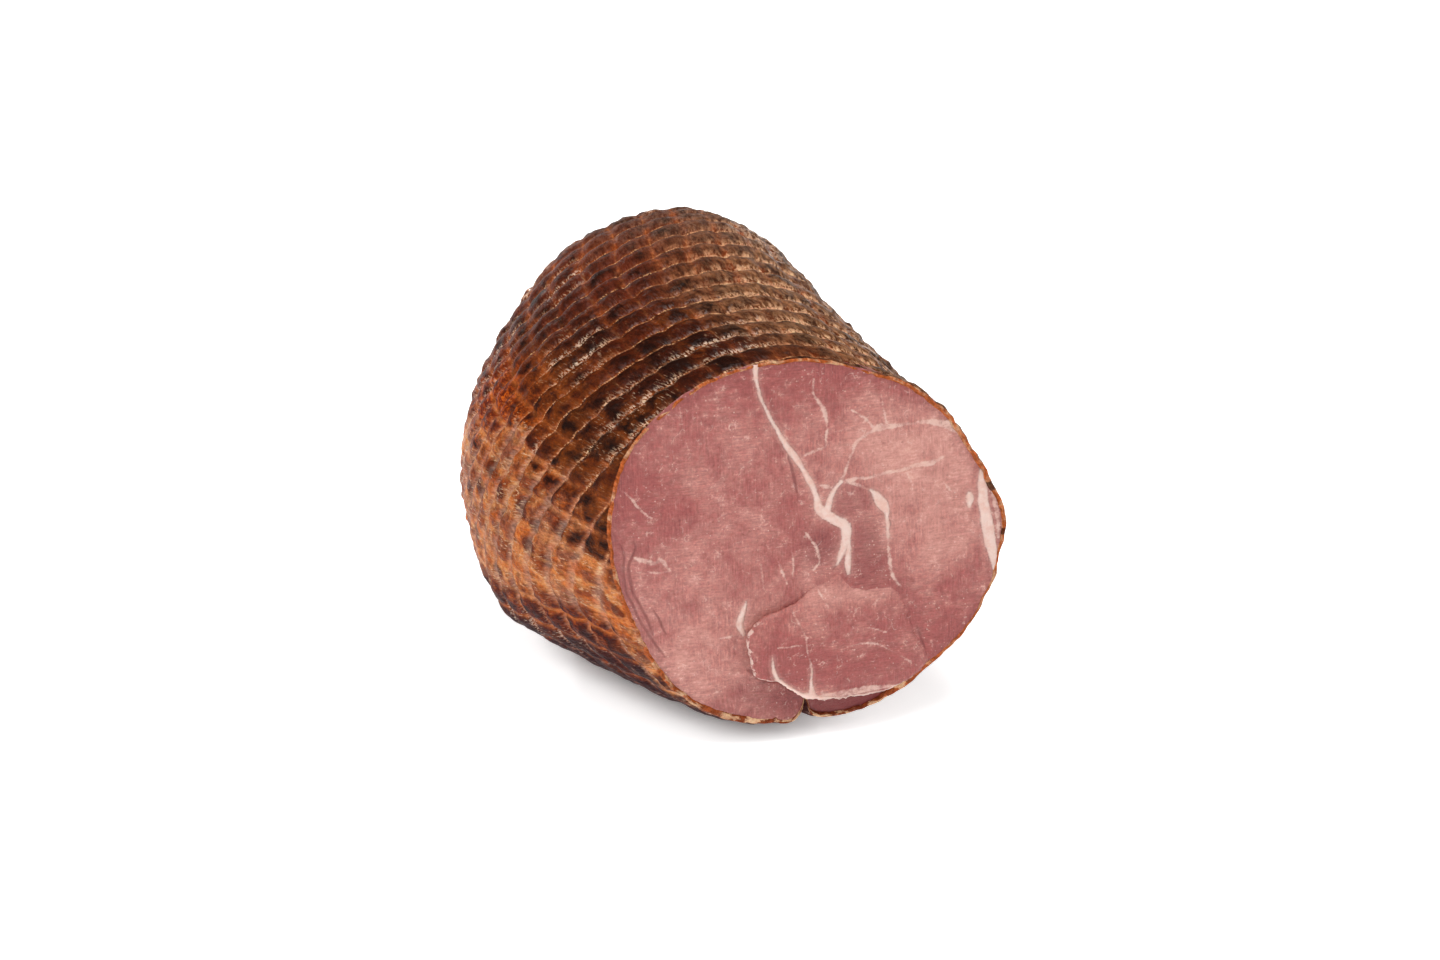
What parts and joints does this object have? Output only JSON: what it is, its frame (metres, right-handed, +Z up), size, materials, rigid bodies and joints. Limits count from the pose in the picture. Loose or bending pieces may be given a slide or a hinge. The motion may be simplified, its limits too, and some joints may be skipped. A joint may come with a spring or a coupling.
{
  "type": "smoked reindeer roast",
  "caption": "Round boned roast of smoked reindeer with a net-quilted brown crust and one end cut off, showing pink meat with fat seams.",
  "frame": {"origin": "on the surface that the roast lies on, under the middle of its box", "axes": "+Z up; +Y along the roast from the cut face to the rounded back end; +X to the right of someone looking along +Y"},
  "size_m": [0.1424, 0.1614, 0.1401],
  "materials": {
    "smoked_meat": "dark brown moist crust, satin pink cut face"
  },
  "bodies": {
    "root": {"roast": "smoked_meat"}
  },
  "joints": []
}
